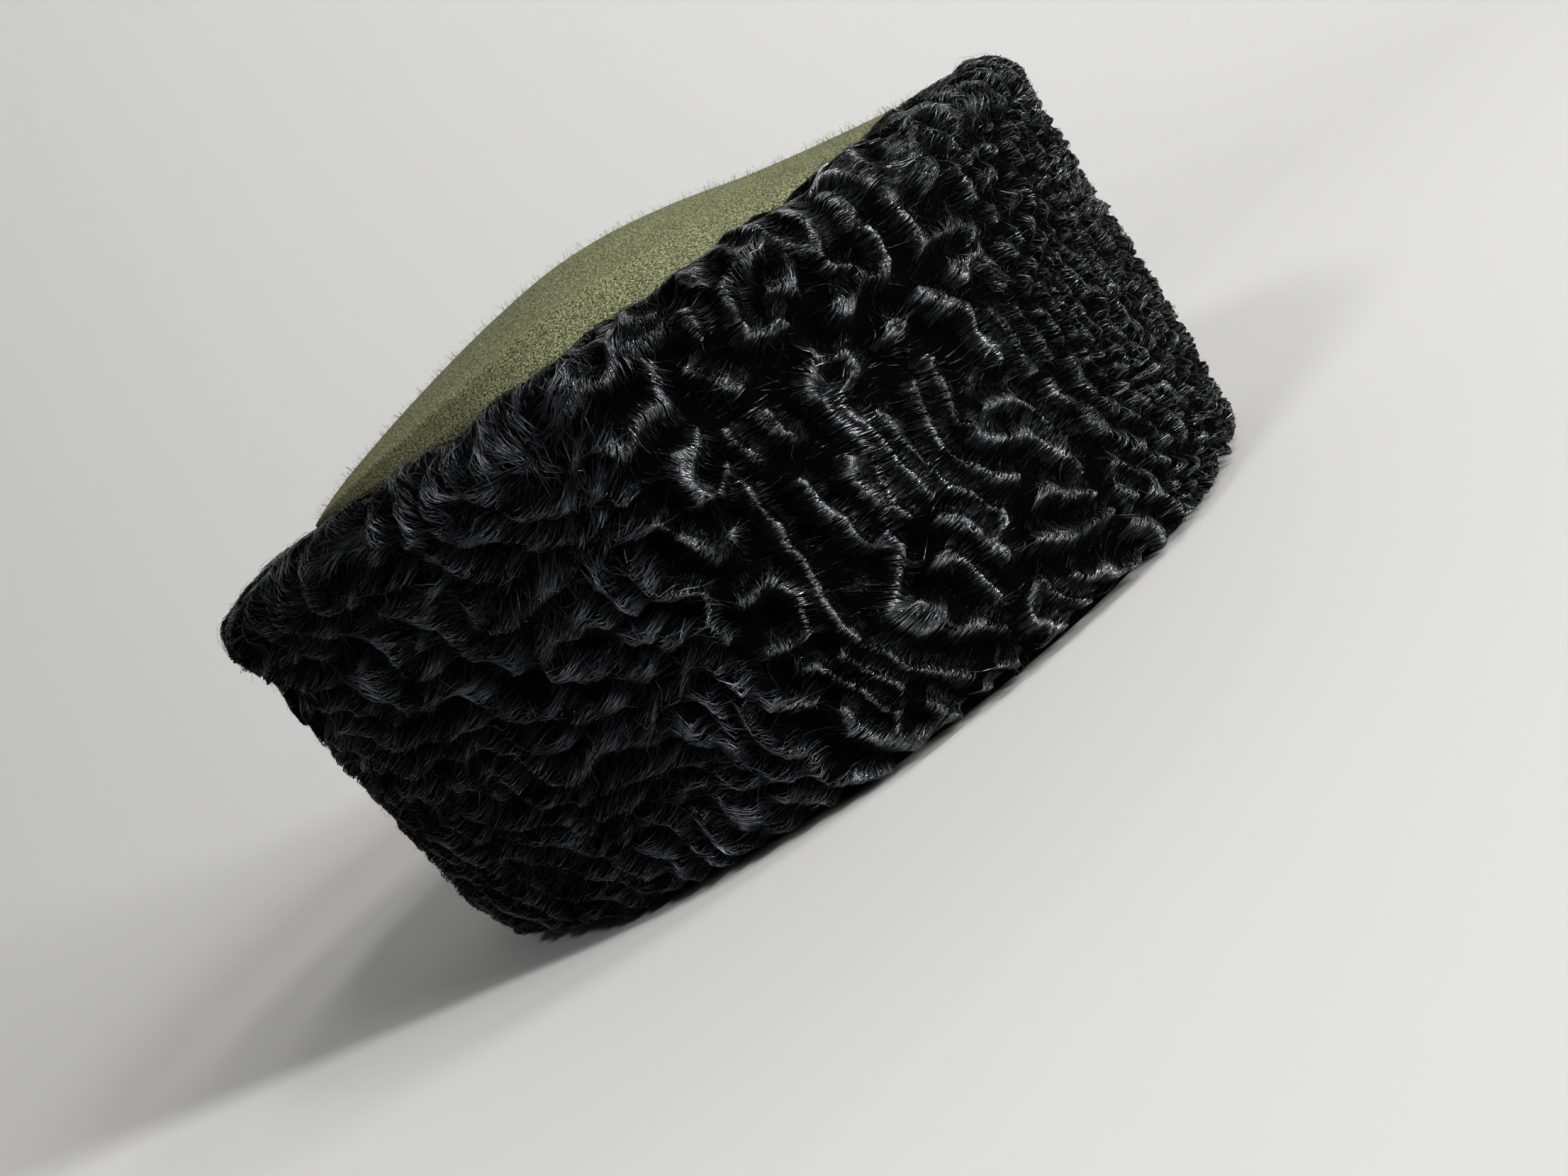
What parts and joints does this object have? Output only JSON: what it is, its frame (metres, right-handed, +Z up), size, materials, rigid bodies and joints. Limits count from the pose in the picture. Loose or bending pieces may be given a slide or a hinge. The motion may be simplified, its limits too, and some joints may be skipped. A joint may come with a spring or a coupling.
{
  "type": "papakha",
  "caption": "Tall oval papakha: a padded band of curly black lamb fur, open below for the head, closed above by a domed crown of olive green wool cloth.",
  "frame": {"origin": "bottom centre of the hat's box, on the surface that its rim stands on", "axes": "+Z up, the hat's front towards -Y and the wearer's right towards -X"},
  "size_m": [0.2464, 0.285, 0.1535],
  "materials": {
    "karakul_fur": "glossy black lamb curls",
    "olive_wool": "matt fulled wool cloth"
  },
  "bodies": {
    "root": {"karakul_band": "karakul_fur", "cloth_top": "olive_wool"}
  },
  "joints": []
}
